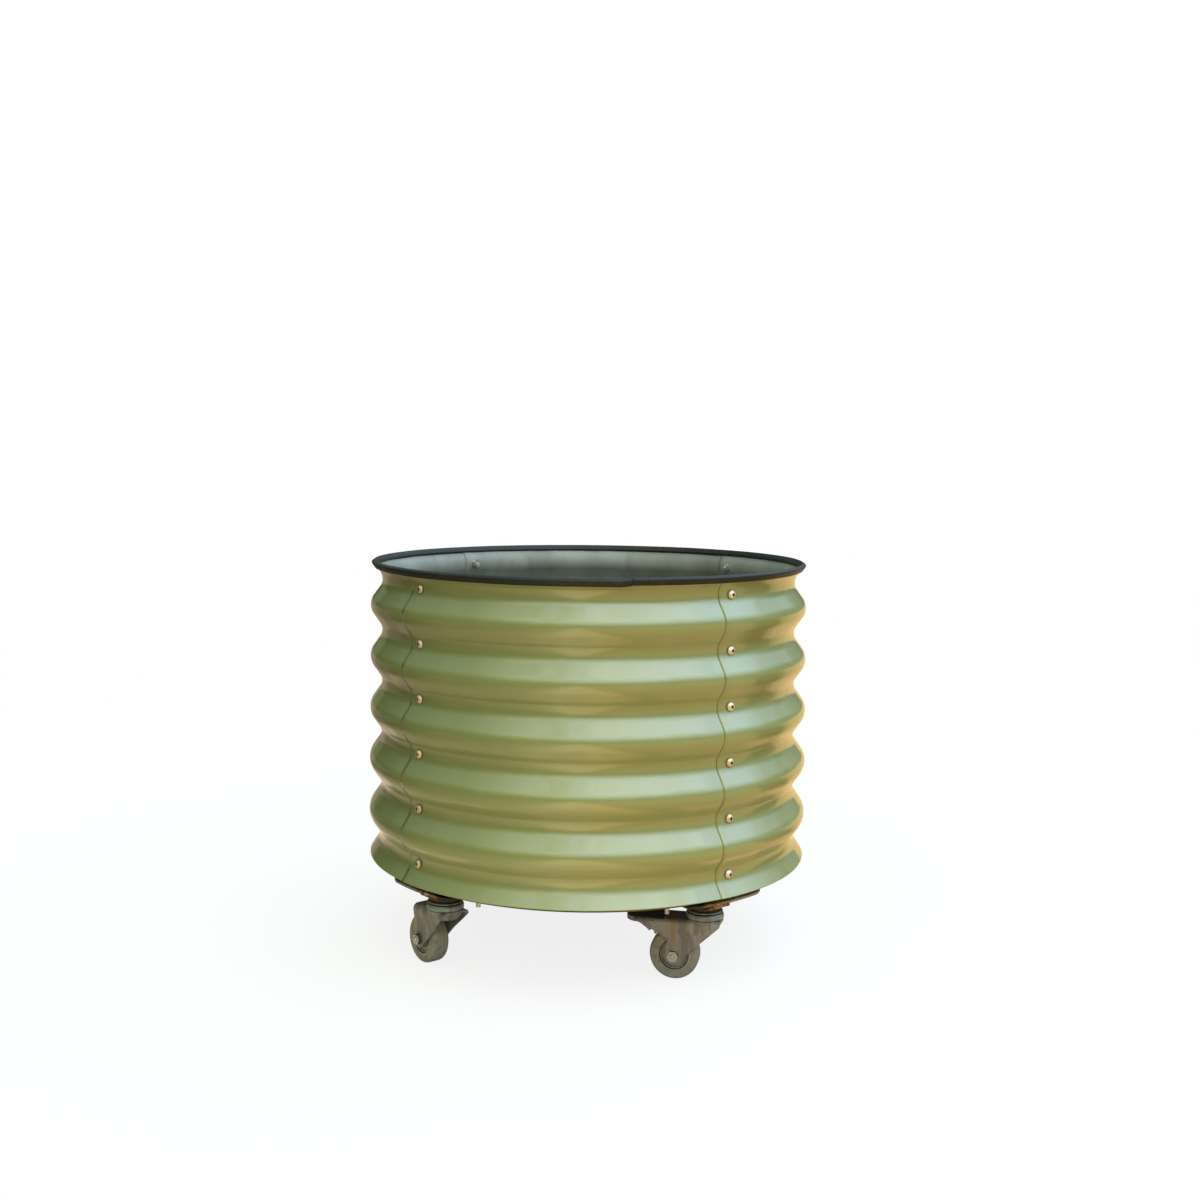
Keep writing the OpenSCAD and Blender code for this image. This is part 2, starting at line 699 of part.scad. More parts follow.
module axle_bolt(c) {
  half = ear_gap / 2 + fork_t;
  color(zinc) at_axle(c) {
    translate([0, 0, half]) flange_hex(0);
    translate([0, 0, -half - axle_flange_t - axle_head_h - bolt_end + 0.8])
      cylinder(d = axle_d, h = 2 * half + axle_flange_t + axle_head_h + bolt_end + axle_flange_t);
    translate([0, 0, -half - axle_flange_t - axle_head_h - bolt_end])
      cylinder(d1 = axle_d - 1.6, d2 = axle_d, h = 0.8);
  }
}

module axle_nut(c) {
  color(zinc) at_axle(c) translate([0, 0, -ear_gap / 2 - fork_t]) mirror([0, 0, 1]) flange_hex(axle_d);
}

module hub(c) {
  rim_r = wheel_d / 2 - tyre_t;
  face = tread_w / 2 - 1.5;
  boss_r = boss_d / 2;
  boss_z = ear_gap / 2 - face_gap;
  dish_r = rim_r - 1.6;
  half = [
    [sleeve_d / 2 + fit_gap, boss_z], [boss_r - 1.5, boss_z], [boss_r, face - dish_t],
    [dish_r - groove_w, face - dish_t], [dish_r - groove_w, face - groove_t],
    [dish_r, face - groove_t], [dish_r, face], [rim_r - 0.4, face], [rim_r, face - 0.4]
  ];
  color(tyre_grey) at_axle(c) rotate_extrude()
    polygon(concat(half, [for (p = reversed(half)) [p[0], -p[1]]]));
}

module tyre(c) {
  rim_r = wheel_d / 2 - tyre_t;
  color(tyre_grey) at_axle(c) rotate_extrude() difference() {
    translate([wheel_d / 2, 0]) rotate(90) round_bar(tread_w, wheel_d / 2, tyre_round);
    translate([-eps, -tread_w]) square([rim_r + seat + eps, 2 * tread_w]);
  }
}

// ---- brakes, in the frame of the axle's side view ----

module at_pivot(c) {
  at_swivel(c) translate([trail + pivot_back, 0, axle_z + pivot_up]) children();
}

module brake_pin(c) {
  half = fork_w / 2 + seat;
  color(zinc) at_pivot(c) rotate([90, 0, 0]) {
    cylinder(d = pivot_d, h = 2 * half + pivot_head_t, center = true);
    for (s = [-1, 1]) translate([0, 0, s * (half + pivot_head_t / 2)])
      cylinder(d = pivot_head_d, h = pivot_head_t, center = true);
  }
}

// Plate of the lever and its pad: square at the back and round at the tip
module lever_plan() {
  back = trail + lever_back;
  r = lever_w / 2;
  translate([back, -r]) square([lever_reach - r - back, lever_w]);
  intersection() {
    translate([lever_reach - r, 0]) circle(r);
    translate([back, -r]) square([cut, lever_w]);
  }
}

module brake_lever(c) {
  top = crown_z - pad_t;
  boss_w = lever_w - 4;
  face = wheel_d / 2 + shoe_gap;
  color(galvanised) at_swivel(c) difference() {
    union() {
      translate([0, 0, top - lever_t]) linear_extrude(lever_t) lever_plan();
      translate([trail + pivot_back, 0, axle_z + pivot_up]) rotate([90, 0, 0])
        cylinder(d = pivot_d + 4, h = boss_w, center = true);
      // turned-down edge round the tip
      translate([0, 0, top - lever_t - rim_h]) linear_extrude(rim_h) difference() {
        intersection() {
          lever_plan();
          translate([trail + pivot_back + 4, 0.6 - lever_w / 2]) square([cut, lever_w - 1.2]);
        }
        translate([lever_reach - lever_w / 2, 0]) circle(lever_w / 2 - lever_t);
        translate([trail + pivot_back, lever_t - lever_w / 2])
          square([lever_reach - trail - pivot_back - lever_w / 2, lever_w - 2 * lever_t]);
      }
      // shoe on its arm
      rotate([90, 0, 0]) linear_extrude(shoe_w, center = true) translate([trail, axle_z])
        polygon([
          face * [cos(44), sin(44)], [pivot_back + 2, pivot_up - 4], [pivot_back + 4, top - axle_z - 1],
          [pivot_back - 6, top - axle_z - 1], face * [cos(54), sin(54)]
        ]);
    }
    translate([trail + pivot_back, 0, axle_z + pivot_up]) rotate([90, 0, 0])
      cylinder(r = pivot_d / 2 + fit_gap, h = lever_w + 2 * eps, center = true);
  }
}

module brake_pad(c) {
  color(black) at_swivel(c) translate([0, 0, crown_z - pad_t]) linear_extrude(pad_t) lever_plan();
}

panel_front();
panel_right();
panel_rear();
panel_left();
rim_trim();
joint_bolts();
joint_washers();
joint_nuts();
base_pan();
pan_bolts();
pan_nuts();
bracket(FR);  // bracket_fr
bracket(FL);  // bracket_fl
bracket(RR);  // bracket_rr
bracket(RL);  // bracket_rl
kingpins();
kingpin_nuts();
upper_race(FR);  // upper_race_fr
upper_race(FL);  // upper_race_fl
upper_race(RR);  // upper_race_rr
upper_race(RL);  // upper_race_rl
race_balls();
lower_race(FR);  // lower_race_fr
lower_race(FL);  // lower_race_fl
lower_race(RR);  // lower_race_rr
lower_race(RL);  // lower_race_rl
fork(FR, true);  // fork_fr
fork(FL);  // fork_fl
fork(RR);  // fork_rr
fork(RL, true);  // fork_rl
sleeve(FR);  // sleeve_fr
sleeve(FL);  // sleeve_fl
sleeve(RR);  // sleeve_rr
sleeve(RL);  // sleeve_rl
axle_bolt(FR);  // axle_bolt_fr
axle_bolt(FL);  // axle_bolt_fl
axle_bolt(RR);  // axle_bolt_rr
axle_bolt(RL);  // axle_bolt_rl
axle_nut(FR);  // axle_nut_fr
axle_nut(FL);  // axle_nut_fl
axle_nut(RR);  // axle_nut_rr
axle_nut(RL);  // axle_nut_rl
hub(FR);  // hub_fr
hub(FL);  // hub_fl
hub(RR);  // hub_rr
hub(RL);  // hub_rl
tyre(FR);  // tyre_fr
tyre(FL);  // tyre_fl
tyre(RR);  // tyre_rr
tyre(RL);  // tyre_rl
brake_pin(FR);  // brake_pin_fr
brake_lever(FR);  // brake_lever_fr
brake_pad(FR);  // brake_pad_fr
brake_pin(RL);  // brake_pin_rl
brake_lever(RL);  // brake_lever_rl
brake_pad(RL);  // brake_pad_rl
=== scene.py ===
# Rolling planter: a corrugated steel wall in sage green paint on a base pan with rusty caster
# brackets.
import json
import math

import bmesh
import bpy
from mathutils import Matrix, Vector, noise


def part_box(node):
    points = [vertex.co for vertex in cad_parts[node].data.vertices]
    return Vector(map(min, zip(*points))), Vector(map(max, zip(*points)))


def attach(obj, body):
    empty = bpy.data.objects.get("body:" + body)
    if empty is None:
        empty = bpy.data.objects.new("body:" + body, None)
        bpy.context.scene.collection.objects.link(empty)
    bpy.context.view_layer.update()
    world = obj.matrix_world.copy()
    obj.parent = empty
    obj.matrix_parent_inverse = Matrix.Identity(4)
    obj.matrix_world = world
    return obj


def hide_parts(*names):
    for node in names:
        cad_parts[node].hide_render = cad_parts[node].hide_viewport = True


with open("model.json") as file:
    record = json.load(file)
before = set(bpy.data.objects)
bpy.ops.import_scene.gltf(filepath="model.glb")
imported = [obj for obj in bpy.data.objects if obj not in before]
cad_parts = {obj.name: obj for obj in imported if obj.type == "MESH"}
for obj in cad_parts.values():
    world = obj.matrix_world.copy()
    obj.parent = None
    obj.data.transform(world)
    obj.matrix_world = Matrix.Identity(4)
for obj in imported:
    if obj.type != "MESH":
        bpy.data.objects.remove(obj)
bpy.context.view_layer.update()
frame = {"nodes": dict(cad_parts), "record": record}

# -------------------------------------------------------------------------------------------------
# Camera, floor and light
# -------------------------------------------------------------------------------------------------

PICTURE = 1200                      # pixels on a side
LENS_CENTRE = (589.74, 470.6)       # pixels from the picture's top left corner
FOCAL_PIXELS = 1453.1
SENSOR = 36                         # mm
FOCAL_LENGTH = FOCAL_PIXELS / PICTURE * SENSOR
CAMERA_AZIMUTH = math.radians(4.76)
CAMERA_DISTANCE = 2.05              # from the planter's axis, level
CAMERA_HEIGHT = 0.678
CAMERA_PITCH = math.radians(-0.83)
CAMERA_ROLL = 0.0093


def place_camera():
    data = bpy.data.cameras.new("camera")
    data.sensor_width = SENSOR
    data.lens = FOCAL_LENGTH
    data.shift_x = (PICTURE / 2 - LENS_CENTRE[0]) / PICTURE
    data.shift_y = (LENS_CENTRE[1] - PICTURE / 2) / PICTURE
    camera = bpy.data.objects.new("camera", data)
    camera.location = (CAMERA_DISTANCE * math.sin(CAMERA_AZIMUTH),
                       -CAMERA_DISTANCE * math.cos(CAMERA_AZIMUTH), CAMERA_HEIGHT)
    turn = (Matrix.Rotation(CAMERA_AZIMUTH, 4, "Z")
            @ Matrix.Rotation(math.pi / 2 + CAMERA_PITCH, 4, "X")
            @ Matrix.Rotation(CAMERA_ROLL, 4, "Z"))
    camera.rotation_euler = turn.to_euler()
    bpy.context.collection.objects.link(camera)
    bpy.context.scene.camera = camera


place_camera()

FLOOR_HALF = 14
FLOOR_COLOUR = (0.93, 0.93, 0.92)
FLOOR_GLOW = 0.84                   # the share of plain white in it near the planter

# What the planter sees below itself: colours, and where the light patch under it and the darker
# gap beside the patch start, are full, begin to fade and end, from left to right
GROUND_LEFT = (0.97, 0.84, 0.48)
GROUND_RIGHT = (1.14, 0.78, 0.34)
GROUND_FAR_LEFT = (1.06, 0.84, 0.60)
GROUND_UNDER = (0.8, 0.8, 0.76)
GROUND_PATCH = (-0.24, -0.07, 0.13, 0.19)
GROUND_GAP = (0.19, 0.215, 0.240, 0.262)

# The same for bands round the planter, in radians from the front, to the right
GROUND_SHADE_RIGHT = (1.56, 1.68, 2.00, 2.14)
GROUND_SHADE_LEFT = (-2.50, -2.30, -1.50, -1.30)
SKY_DARK = (2.04, 2.14, 2.30, 2.42)
SKY_LIT = (-2.74, -2.66, -2.52, -2.44)

# What the planter sees above
BRIGHT_SIDE = (0.77, -0.64)         # where the sky is brightest, level
SKY_BY_HEIGHT = (
    (0.0, (0.30, 0.31, 0.18)), (0.20, (0.34, 0.37, 0.23)), (0.36, (0.95, 1.08, 0.98)),
    (0.60, (1.75, 2.05, 2.1)), (1.0, (1.9, 2.25, 2.5)),
)
WARM_TINT = (1.10, 0.98, 0.58)
GREEN_TINT = (0.86, 1.02, 0.80)
COOL_TINT = (0.88, 0.99, 1.18)
BACKDROP_GLOW = 1.1


def make_floor():
    """A pale floor. What shines and scatters off the planter sees warm ground in its place."""
    bm = bmesh.new()
    bmesh.ops.create_grid(bm, x_segments=1, y_segments=1, size=FLOOR_HALF)
    floor = add_piece("floor", bm)
    stage = Finish("floor")
    x = stage.axis("X")
    turn = x.bearing(stage.axis("Y") * -1)
    away = stage.node("ShaderNodeVectorMath", out="Value", settings={"operation": "LENGTH"},
                      i0=stage.place)
    under = away.smooth(0.25, 0.34)
    mottle = stage.noise(11, 3)

    patch = x.band(*GROUND_PATCH) * (0.12 + 0.35 * away.smooth(0.31, 0.36)
                                     + 0.53 * away.smooth(0.38, 0.62))
    ends = ((x.smooth(0.242, 0.270) * 0.55 + x.smooth(-0.215, -0.250) * 0.30)
            * away.smooth(0.39, 0.33))
    glow = ((0.26 + 0.50 * x.smooth(-0.9, -0.1)) * (1 - 0.30 * x.band(*GROUND_GAP))
            + 0.90 * patch + ends)
    shade = (turn.band(*GROUND_SHADE_RIGHT) * away.smooth(0.50, 0.70) * 0.80
             + turn.band(*GROUND_SHADE_LEFT) * away.smooth(0.8, 1.1) * 0.75)
    edge = turn.smooth(2.14, 2.28) * 0.20 + turn.smooth(-1.95, -2.15) * 0.45
    strength = glow * (1 - shade + edge) * (0.55 + 0.9 * mottle) * (0.45 + 0.55 * under)

    warm = stage.blend(x.smooth(-0.12, 0.14), GROUND_LEFT, GROUND_RIGHT)
    warm = stage.blend(turn.smooth(-1.75, -2.10), warm, GROUND_FAR_LEFT)
    ground = stage.node("ShaderNodeEmission", Strength=strength,
                        Color=stage.blend(under, GROUND_UNDER, warm))
    shown = stage.node("ShaderNodeMixShader",
                       i0=FLOOR_GLOW + (1 - FLOOR_GLOW) * away.smooth(0.6, 2.2),
                       i1=stage.node("ShaderNodeBsdfDiffuse", Color=FLOOR_COLOUR),
                       i2=stage.node("ShaderNodeEmission"))
    stage.show(stage.tree.nodes["Material Output"], shown, ground)
    floor.data.materials.append(stage.material)


def make_sky():
    """White to the camera. To the planter it is brighter and cooler above and to the right."""
    world = bpy.data.worlds.new("sky")
    bpy.context.scene.world = world
    world.use_nodes = True
    world.node_tree.nodes.clear()
    sky = Nodes(world.node_tree, "Generated")
    x, y = sky.axis("X"), sky.axis("Y")
    turn = x.bearing(y * -1)
    side = x * BRIGHT_SIDE[0] + y * BRIGHT_SIDE[1]
    clutter = sky.noise(3.2, 2, stretch=(1, 1, 0.45))
    blue = turn.smooth(1.05, 1.40)

    strength = (0.18 + 0.90 * side.smooth(-0.65, 0.6)) * (0.80 + 0.30 * clutter.smooth(0.42, 0.56))
    strength = (strength * (1 - 0.32 * turn.band(*SKY_DARK)) + turn.smooth(2.30, 2.42) * 0.25
                + blue * 0.12 + turn.band(*SKY_LIT) * 0.45)

    by_height = sky.node("ShaderNodeValToRGB", stops=SKY_BY_HEIGHT, Fac=sky.axis("Z"))
    cool = x.smooth(-0.75, 0.85) * 0.55 + clutter.smooth(0.44, 0.58) * 0.2 + blue * 0.55
    tint = sky.blend(turn.smooth(-1.05, -1.75), WARM_TINT, GREEN_TINT)
    tint = sky.blend(cool, tint, COOL_TINT)
    colour = sky.blend(1.0, by_height, tint, "MULTIPLY")

    seen = sky.node("ShaderNodeBackground", Color=(1, 1, 1), Strength=BACKDROP_GLOW)
    lit = sky.node("ShaderNodeBackground", Color=colour, Strength=strength)
    sky.show(world.node_tree.nodes.new("ShaderNodeOutputWorld"), seen, lit)


def make_light(name, place, aim, size, watts, colour):
    data = bpy.data.lights.new(name, "AREA")
    data.shape = "DISK"
    data.size = size
    data.energy = watts
    data.color = colour
    light = bpy.data.objects.new(name, data)
    light.location = place
    light.rotation_euler = (Vector(aim) - Vector(place)).to_track_quat("-Z", "Y").to_euler()
    bpy.context.collection.objects.link(light)


# -------------------------------------------------------------------------------------------------
# Finishes
# -------------------------------------------------------------------------------------------------

class Value:
    """A shader socket on which Python's operators add Math nodes."""

    def __init__(self, tree, socket):
        self.tree, self.socket = tree, socket

    def math(self, operation, *values, clamp=False):
        node = self.tree.nodes.new("ShaderNodeMath")
        node.operation = operation
        node.use_clamp = clamp
        for slot, value in zip(node.inputs, values):
            if isinstance(value, Value):
                self.tree.links.new(value.socket, slot)
            else:
                slot.default_value = value
        return Value(self.tree, node.outputs[0])

    def __add__(self, other): return self.math("ADD", self, other)
    def __radd__(self, other): return self.math("ADD", other, self)
    def __sub__(self, other): return self.math("SUBTRACT", self, other)
    def __rsub__(self, other): return self.math("SUBTRACT", other, self)
    def __mul__(self, other): return self.math("MULTIPLY", self, other)
    def __rmul__(self, other): return self.math("MULTIPLY", other, self)
    def clamp(self): return self.math("ADD", self, 0.0, clamp=True)
    def size(self): return self.math("ABSOLUTE", self)

    def bearing(self, ahead):
        """The turn from ahead towards this value, in radians."""
        return self.math("ARCTAN2", self, ahead)

    def smooth(self, low, high):
        """0 below low, 1 above high and smooth between. With low above high it falls instead."""
        node = self.tree.nodes.new("ShaderNodeMapRange")
        node.interpolation_type = "SMOOTHSTEP"
        flip = low > high
        self.tree.links.new(self.socket, node.inputs["Value"])
        node.inputs["From Min"].default_value = high if flip else low
        node.inputs["From Max"].default_value = low if flip else high
        node.inputs["To Min"].default_value = 1.0 if flip else 0.0
        node.inputs["To Max"].default_value = 0.0 if flip else 1.0
        return Value(self.tree, node.outputs["Result"])

    def band(self, start, full, fading, end):
        """1 from full to fading, 0 outside start and end, and smooth between."""
        return self.smooth(start, full) * self.smooth(end, fading)


class Nodes:
    """A node tree that is built node by node and varies over the coordinates it is given."""

    def __init__(self, tree, coordinates):
        self.tree = tree
        self.place = self.node("ShaderNodeTexCoord", out=coordinates)

    def node(self, kind, out=0, settings=None, stops=None, **inputs):
        """A new node's output. An input is named by its name, or by i and its number."""
        node = self.tree.nodes.new(kind)
        for key, value in (settings or {}).items():
            setattr(node, key, value)
        if stops:
            ramp = node.color_ramp
            while len(ramp.elements) > 1:
                ramp.elements.remove(ramp.elements[-1])
            ramp.elements[0].position, ramp.elements[0].color = stops[0][0], (*stops[0][1], 1)
            for position, colour in stops[1:]:
                ramp.elements.new(position).color = (*colour, 1)
        for key, value in inputs.items():
            numbered = key[0] == "i" and key[1:].isdigit()
            self.feed(node.inputs[int(key[1:]) if numbered else key.replace("_", " ")], value)
        return Value(self.tree, node.outputs[out])

    def feed(self, socket, value):
        if isinstance(value, Value):
            self.tree.links.new(value.socket, socket)
        elif isinstance(value, tuple) and len(value) == 3 and socket.type == "RGBA":
            socket.default_value = (*value, 1)
        else:
            socket.default_value = value

    def noise(self, scale, detail=2.0, roughness=0.5, stretch=(1, 1, 1)):
        place = self.node("ShaderNodeMapping", Vector=self.place, Scale=stretch)
        return self.node("ShaderNodeTexNoise", Vector=place, Scale=scale, Detail=detail,
                         Roughness=roughness)

    def axis(self, letter):
        return self.node("ShaderNodeSeparateXYZ", out=letter, i0=self.place)

    def blend(self, mask, low, high, how="MIX"):
        return self.node("ShaderNodeMix", out=2, settings={"data_type": "RGBA", "blend_type": how},
                         i0=mask, i6=low, i7=high)

    def show(self, output, to_camera, to_planter):
        """The tree's surface: one shader for the camera and another for all else."""
        camera = self.node("ShaderNodeLightPath", out="Is Camera Ray")
        surface = self.node("ShaderNodeMixShader", i0=camera, i1=to_planter, i2=to_camera)
        self.feed(output.inputs["Surface"], surface)


class Finish(Nodes):
    """A material on object coordinates."""

    def __init__(self, name, **constants):
        self.material = bpy.data.materials.new(name)
        self.material.use_nodes = True
        super().__init__(self.material.node_tree, "Object")
        self.surface = self.tree.nodes["Principled BSDF"]
        self.set(**constants)

    def grime(self):
        """Painted shade, with some dirt and rust, marked on a piece's own vertices, 0 to 1."""
        return self.node("ShaderNodeAttribute", out="Fac", settings={"attribute_name": "grime"})

    def bump(self, height, depth, strength=1.0, **inputs):
        return self.node("ShaderNodeBump", Height=height, Distance=depth, Strength=strength,
                         **inputs)

    def set(self, **inputs):
        for socket, value in inputs.items():
            self.feed(self.surface.inputs[socket.replace("_", " ")], value)


def sage_paint():
    """Semi-gloss paint. The sheet under it ripples a little, mostly in upright streaks."""
    paint = Finish("sage_paint", Coat_Roughness=0.07, Coat_IOR=1.7, Specular_IOR_Level=0.8)
    broad = paint.noise(3.0, 2)
    cloud = paint.noise(22, 3, stretch=(1, 1, 0.5))
    streak = paint.noise(34, 3, stretch=(1, 1, 0.12))
    fine = paint.noise(900, 2)
    colour = paint.blend(broad.smooth(0.3, 0.7), (0.218, 0.252, 0.096), (0.248, 0.270, 0.104))
    colour = paint.blend(cloud.smooth(0.52, 0.8) * 0.35, colour, (0.27, 0.29, 0.13))
    colour = paint.blend(streak.smooth(0.55, 0.8) * 0.3, colour, (0.19, 0.235, 0.09))
    ripple = paint.bump(streak * 0.8 + cloud, 0.0020, 0.6)
    peel = paint.bump(fine, 0.0003, 0.10, Normal=ripple)
    paint.set(Base_Color=colour, Roughness=0.26 + 0.12 * cloud, Coat_Weight=0.9, Normal=peel)
    return paint.material


def grey_back():
    """The sheet's primed inner side, stained in upright runs."""
    back = Finish("grey_back")
    cloud = back.noise(14, 4)
    run = back.noise(60, 4, stretch=(1, 1, 0.08))
    colour = back.blend(cloud.smooth(0.35, 0.7), (0.30, 0.31, 0.295), (0.22, 0.225, 0.21))
    colour = back.blend(run.smooth(0.5, 0.75) * 0.45, colour, (0.17, 0.165, 0.15))
    low = back.axis("Z").smooth(0.32, 0.12)
    colour = back.blend(low * run.smooth(0.35, 0.6) * 0.6, colour, (0.12, 0.10, 0.08))
    back.set(Base_Color=colour, Roughness=0.36 + 0.25 * cloud, Normal=back.bump(run, 0.0006, 0.3))
    return back.material


def black_rubber():
    rubber = Finish("black_rubber", Specular_IOR_Level=0.35)
    dust = rubber.noise(60, 4)
    wear = rubber.noise(240, 4, 0.6)
    colour = rubber.blend(dust.smooth(0.5, 0.8) * 0.5, (0.011, 0.012, 0.013), (0.040, 0.043, 0.042))
    colour = rubber.blend(wear.smooth(0.6, 0.75) * 0.4, colour, (0.07, 0.072, 0.068))
    rubber.set(Base_Color=colour, Roughness=0.36 + 0.25 * dust,
               Normal=rubber.bump(wear, 0.0003, 0.3))
    return rubber.material


def lever_run(steel, colour):
    """Rust that ran down from the front brake's pin over the fork, in line with the axle."""
    axle, spin = middle("tyre_fr"), wheel_axis("fr")
    level = Vector((-spin.y, spin.x, 0))
    aside = steel.axis("X") * level.x + steel.axis("Y") * level.y - level.dot(axle)
    near = steel.axis("X") * spin.x + steel.axis("Y") * spin.y - spin.dot(axle)
    wobble = (steel.noise(90, 3) - 0.5) * 0.004
    run = ((aside + wobble).size().smooth(0.0042, 0.0022)
           * steel.axis("Z").smooth(0.038, 0.050) * near.size().smooth(0.03, 0.02))
    return steel.blend(run * (0.6 + 0.4 * steel.noise(300, 3)), colour, (0.33, 0.195, 0.110))


def stained(name, base, dark, light, stain, metallic, rough, grain=0.0003,
            shade_and_grit_colour=(0.035, 0.026, 0.02), extra=None):
    """Worn grey metal: cloudy, streaked downwards, stained by rust in places."""
    steel = Finish(name, Metallic=metallic)
    cloud = steel.noise(55, 4)
    streak = steel.noise(110, 3, stretch=(1, 1, 0.10))
    spots = steel.noise(260, 5, 0.65)
    rust = steel.noise(38, 5, 0.65)
    colour = steel.blend(cloud.smooth(0.35, 0.65), base, light)
    colour = steel.blend(streak.smooth(0.50, 0.62) * 0.75, colour, dark)
    colour = steel.blend(streak.smooth(0.44, 0.36) * 0.6, colour, light)
    colour = steel.blend(rust.smooth(0.57, 0.72) * streak.smooth(0.40, 0.60) * 0.75, colour, stain)
    colour = steel.blend(spots.smooth(0.62, 0.70) * 0.5, colour, stain)
    colour = extra(steel, colour) if extra else colour
    # Painted shade with some dirt: marked creases, grooves and hidden faces turn dark.
    shade_and_grit_marks = (steel.grime() * (0.75 + 0.5 * spots)).clamp()
    colour = steel.blend(shade_and_grit_marks, colour, shade_and_grit_colour)
    steel.set(Base_Color=colour, Roughness=rough + 0.2 * cloud + 0.15 * rust,
              Normal=steel.bump(spots + streak * 0.5, grain, 0.35))
    return steel.material


def rusty_steel():
    """Bracket plate: rusty at its neck, painted black shadow over the swivel, grey on its shelf."""
    rust = Finish("rusty_steel")
    blotch = rust.noise(50, 5, 0.6)
    grain = rust.noise(420, 4, 0.7)
    flake = rust.noise(150, 5, 0.6)
    colour = rust.blend(blotch.smooth(0.38, 0.6), (0.10, 0.046, 0.024), (0.27, 0.135, 0.065))
    colour = rust.blend(grain.smooth(0.5, 0.7) * 0.6, colour, (0.42, 0.22, 0.10))
    colour = rust.blend(flake.smooth(0.55, 0.60) * 0.8, colour, (0.48, 0.42, 0.35))
    aside = rust.axis("X").size() + (blotch - 0.5) * 0.03
    shelf = rust.axis("Z").smooth(0.1085, 0.1115) * aside.smooth(0.190, 0.205)
    grey = rust.blend(blotch.smooth(0.45, 0.7), (0.27, 0.255, 0.225), (0.19, 0.150, 0.115))
    colour = rust.blend(shelf * (1 - 0.6 * flake.smooth(0.52, 0.64)), colour, grey)
    # Painted shadow: near-black over the swivel, where the plate lies in shade under the wall.
    painted_shadow = aside.smooth(0.176, 0.168)
    colour = rust.blend(painted_shadow * (1 - 0.35 * grain.smooth(0.55, 0.7)), colour, (0.020, 0.018, 0.016))
    rust.set(Base_Color=colour, Roughness=0.70 + 0.2 * grain - 0.15 * painted_shadow, Metallic=0.15,
             Normal=rust.bump(grain + blotch * 0.6, 0.0008, 0.5))
    return rust.material


def dark_pan():
    pan = Finish("dark_pan", Metallic=0.6)
    cloud = pan.noise(18, 4)
    ring = pan.noise(90, 4, 0.6)
    colour = pan.blend(cloud.smooth(0.4, 0.65), (0.075, 0.075, 0.080), (0.14, 0.132, 0.125))
    colour = pan.blend(ring.smooth(0.58, 0.72) * 0.4, colour, (0.09, 0.055, 0.035))
    pan.set(Base_Color=colour, Roughness=0.5 + 0.25 * cloud, Normal=pan.bump(ring, 0.0004, 0.3))
    return pan.material


def grey_wheel(name, low, high, rough):
    wheel = Finish(name)
    cloud = wheel.noise(70, 4)
    grime = wheel.noise(160, 5, 0.65)
    scuff = wheel.noise(700, 3, 0.6)
    colour = wheel.blend(cloud.smooth(0.35, 0.65), low, high)
    colour = wheel.blend(grime.smooth(0.52, 0.70) * 0.55, colour, (0.11, 0.095, 0.07))
    colour = wheel.blend(scuff.smooth(0.60, 0.72) * 0.4, colour, (0.36, 0.35, 0.31))
    # Painted shade with some dirt in the wheel's marked grooves and creases.
    shade_and_grit_marks = (wheel.grime() * (0.8 + 0.4 * grime)).clamp()
    colour = wheel.blend(shade_and_grit_marks, colour, (0.030, 0.024, 0.020))
    wheel.set(Base_Color=colour, Roughness=rough + 0.2 * cloud,
              Normal=wheel.bump(grime + scuff * 0.4, 0.0003, 0.3))
    return wheel.material


# Painted shade: near-black for the brake lever's upward faces, which lie in shade under the
# planter.
def dark_pad():
    pad = Finish("dark_pad")
    wear = pad.noise(90, 4)
    colour = pad.blend(wear.smooth(0.45, 0.7), (0.018, 0.019, 0.021), (0.055, 0.055, 0.055))
    pad.set(Base_Color=colour, Roughness=0.5 + 0.2 * wear, Normal=pad.bump(wear, 0.0004, 0.3))
    return pad.material


# -------------------------------------------------------------------------------------------------
# Pieces
# -------------------------------------------------------------------------------------------------

def add_piece(name, bm, smooth_under=35, body=None, slot=None, finishes=()):
    mesh = bpy.data.meshes.new(name)
    bm.to_mesh(mesh)
    bm.free()
    mesh.polygons.foreach_set("use_smooth", [True] * len(mesh.polygons))
    mesh.set_sharp_from_angle(angle=math.radians(smooth_under))
    piece = bpy.data.objects.new(name, mesh)
    bpy.context.collection.objects.link(piece)
    for finish in finishes:
        mesh.materials.append(finish)
    if body:
        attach(piece, body)
    return piece


# The wall's measures, as it is constructed
BODY_D = 0.610
WAVE_PITCH = 0.0705
WAVE_DEPTH = 0.016
WAVE_BEND = 0.020
WAVE_ROWS = 6
FOOT_LIP = 0.025
SHEET = 0.0008
FRONT_HALF = math.radians(43)
LAP_OVER = 0.021
LAP_UNDER = 0.018
LAP_GAP = 0.00005
BEND_STEP = math.radians(4.5)       # the most that a facet turns up the wave
SWEEP_STEP = 1.25                   # about the same round the wall, in degrees

# Where it departs from them: the sheet's dents and ripples, its top edge, and the front panel's
# left edge, which is pressed into its neighbour over the last of its turn
DENT = 0.0010
RIPPLE = 0.00020
STREAK = 0.00012
EDGE_WANDER = 0.0002
EDGE_SAG = 0.0013
LAP_PRESSED = 0.0007
LAP_PRESSED_TURN = 0.035

